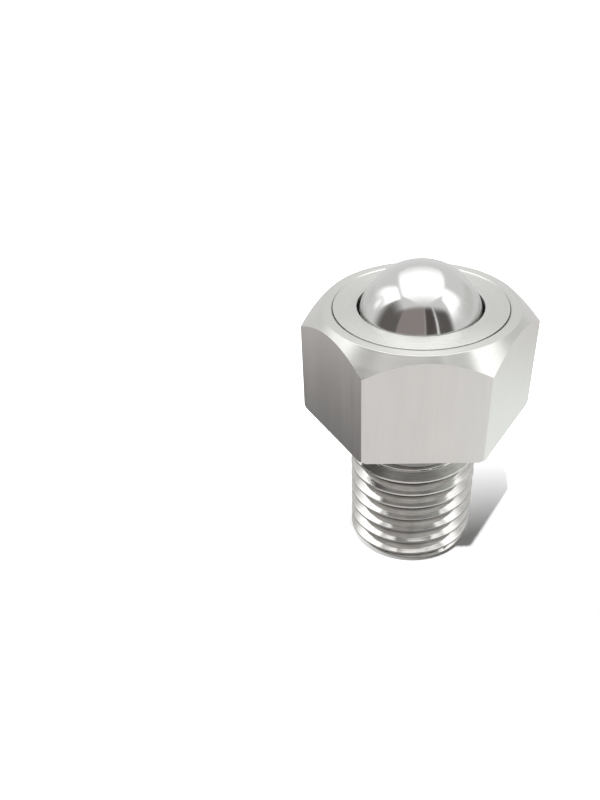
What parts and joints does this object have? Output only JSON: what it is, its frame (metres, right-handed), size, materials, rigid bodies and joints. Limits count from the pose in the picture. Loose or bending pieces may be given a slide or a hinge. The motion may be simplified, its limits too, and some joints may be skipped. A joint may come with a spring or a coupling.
{
  "type": "screw-in ball transfer unit",
  "caption": "Hexagonal steel body with a threaded stud and a polished load ball that rolls any way on small balls.",
  "frame": {"origin": "on the stud's axis, in the plane of the hexagon's underside, which is the face that seats on the machine", "axes": "+Z along the stud's axis, from the stud towards the load ball; two of the hexagon's flats face +Y and -Y, two of its corners lie on +X and -X"},
  "size_m": [0.0416, 0.036, 0.0579],
  "materials": {
    "body_steel": "satin, turned and brushed stainless steel",
    "ring_steel": "satin, finely turned steel",
    "cup_steel": "hardened and ground steel",
    "polished_ball": "mirror polished bearing steel",
    "support_ball_steel": "polished bearing steel"
  },
  "bodies": {
    "housing": {"housing": "body_steel", "race_cup": "cup_steel", "retaining_ring": "ring_steel"},
    "bottom_support_ball": {"bottom_support_ball": "support_ball_steel"},
    "load_ball": {"load_ball": "polished_ball"},
    "support_balls": {"support_ball_r1_01": "support_ball_steel", "support_ball_r1_02": "support_ball_steel", "support_ball_r1_03": "support_ball_steel", "support_ball_r1_04": "support_ball_steel", "support_ball_r1_05": "support_ball_steel", "support_ball_r1_06": "support_ball_steel", "support_ball_r2_01": "support_ball_steel", "support_ball_r2_02": "support_ball_steel", "support_ball_r2_03": "support_ball_steel", "support_ball_r2_04": "support_ball_steel", "support_ball_r2_05": "support_ball_steel", "support_ball_r2_06": "support_ball_steel", "support_ball_r2_07": "support_ball_steel", "support_ball_r2_08": "support_ball_steel", "support_ball_r2_09": "support_ball_steel", "support_ball_r2_10": "support_ball_steel", "support_ball_r2_11": "support_ball_steel", "support_ball_r3_01": "support_ball_steel", "support_ball_r3_02": "support_ball_steel", "support_ball_r3_03": "support_ball_steel", "support_ball_r3_04": "support_ball_steel", "support_ball_r3_05": "support_ball_steel", "support_ball_r3_06": "support_ball_steel", "support_ball_r3_07": "support_ball_steel", "support_ball_r3_08": "support_ball_steel", "support_ball_r3_09": "support_ball_steel", "support_ball_r3_10": "support_ball_steel", "support_ball_r3_11": "support_ball_steel", "support_ball_r3_12": "support_ball_steel", "support_ball_r3_13": "support_ball_steel", "support_ball_r3_14": "support_ball_steel", "support_ball_r3_15": "support_ball_steel", "support_ball_r3_16": "support_ball_steel", "support_ball_r4_01": "support_ball_steel", "support_ball_r4_02": "support_ball_steel", "support_ball_r4_03": "support_ball_steel", "support_ball_r4_04": "support_ball_steel", "support_ball_r4_05": "support_ball_steel", "support_ball_r4_06": "support_ball_steel", "support_ball_r4_07": "support_ball_steel", "support_ball_r4_08": "support_ball_steel", "support_ball_r4_09": "support_ball_steel", "support_ball_r4_10": "support_ball_steel", "support_ball_r4_11": "support_ball_steel", "support_ball_r4_12": "support_ball_steel", "support_ball_r4_13": "support_ball_steel", "support_ball_r4_14": "support_ball_steel", "support_ball_r4_15": "support_ball_steel", "support_ball_r4_16": "support_ball_steel", "support_ball_r4_17": "support_ball_steel", "support_ball_r4_18": "support_ball_steel", "support_ball_r4_19": "support_ball_steel", "support_ball_r4_20": "support_ball_steel"}
  },
  "joints": [
    {"name": "ball_swivel", "type": "hinge", "parent": "housing", "child": "bottom_support_ball", "pos_m": [0, 0, 0.01679], "axis": [0, 0, 1], "continuous": true},
    {"name": "ball_roll", "type": "hinge", "parent": "bottom_support_ball", "child": "load_ball", "pos_m": [0, 0, 0.01679], "axis": [1, 0, 0], "continuous": true},
    {"name": "support_ball_circulation", "type": "hinge", "parent": "housing", "child": "support_balls", "pos_m": [0, 0, 0.01679], "axis": [0, 0, 1], "continuous": true}
  ],
  "couplings": [
    {"joint": "support_ball_circulation", "follows": "ball_swivel", "ratio": 0.43647}
  ]
}
